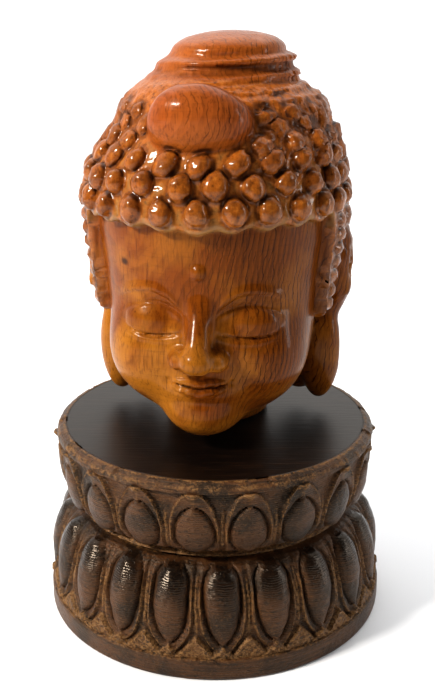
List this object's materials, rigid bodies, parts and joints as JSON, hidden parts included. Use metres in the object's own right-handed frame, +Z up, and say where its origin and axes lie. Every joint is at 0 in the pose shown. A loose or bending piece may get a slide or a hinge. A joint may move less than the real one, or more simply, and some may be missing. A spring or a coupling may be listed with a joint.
{
  "type": "buddha head sculpture",
  "caption": "Small carved wooden Buddha head with snail curls, a jewel and a crown knot, resting on a round two-tiered lotus stand.",
  "frame": {"origin": "centre of the stand's flat underside", "axes": "+Z up; the stand faces -Y, and the head's face is turned 7.5 degrees from -Y towards -X; +X is to the viewer's right"},
  "size_m": [0.054, 0.054, 0.0886],
  "materials": {
    "head_wood": "oiled and polished, glossy, orange brown with dark grain",
    "stand_wood": "dark stained, satin, with lighter worn edges"
  },
  "bodies": {
    "root": {"buddha_head": "head_wood", "lotus_stand": "stand_wood"}
  },
  "joints": []
}
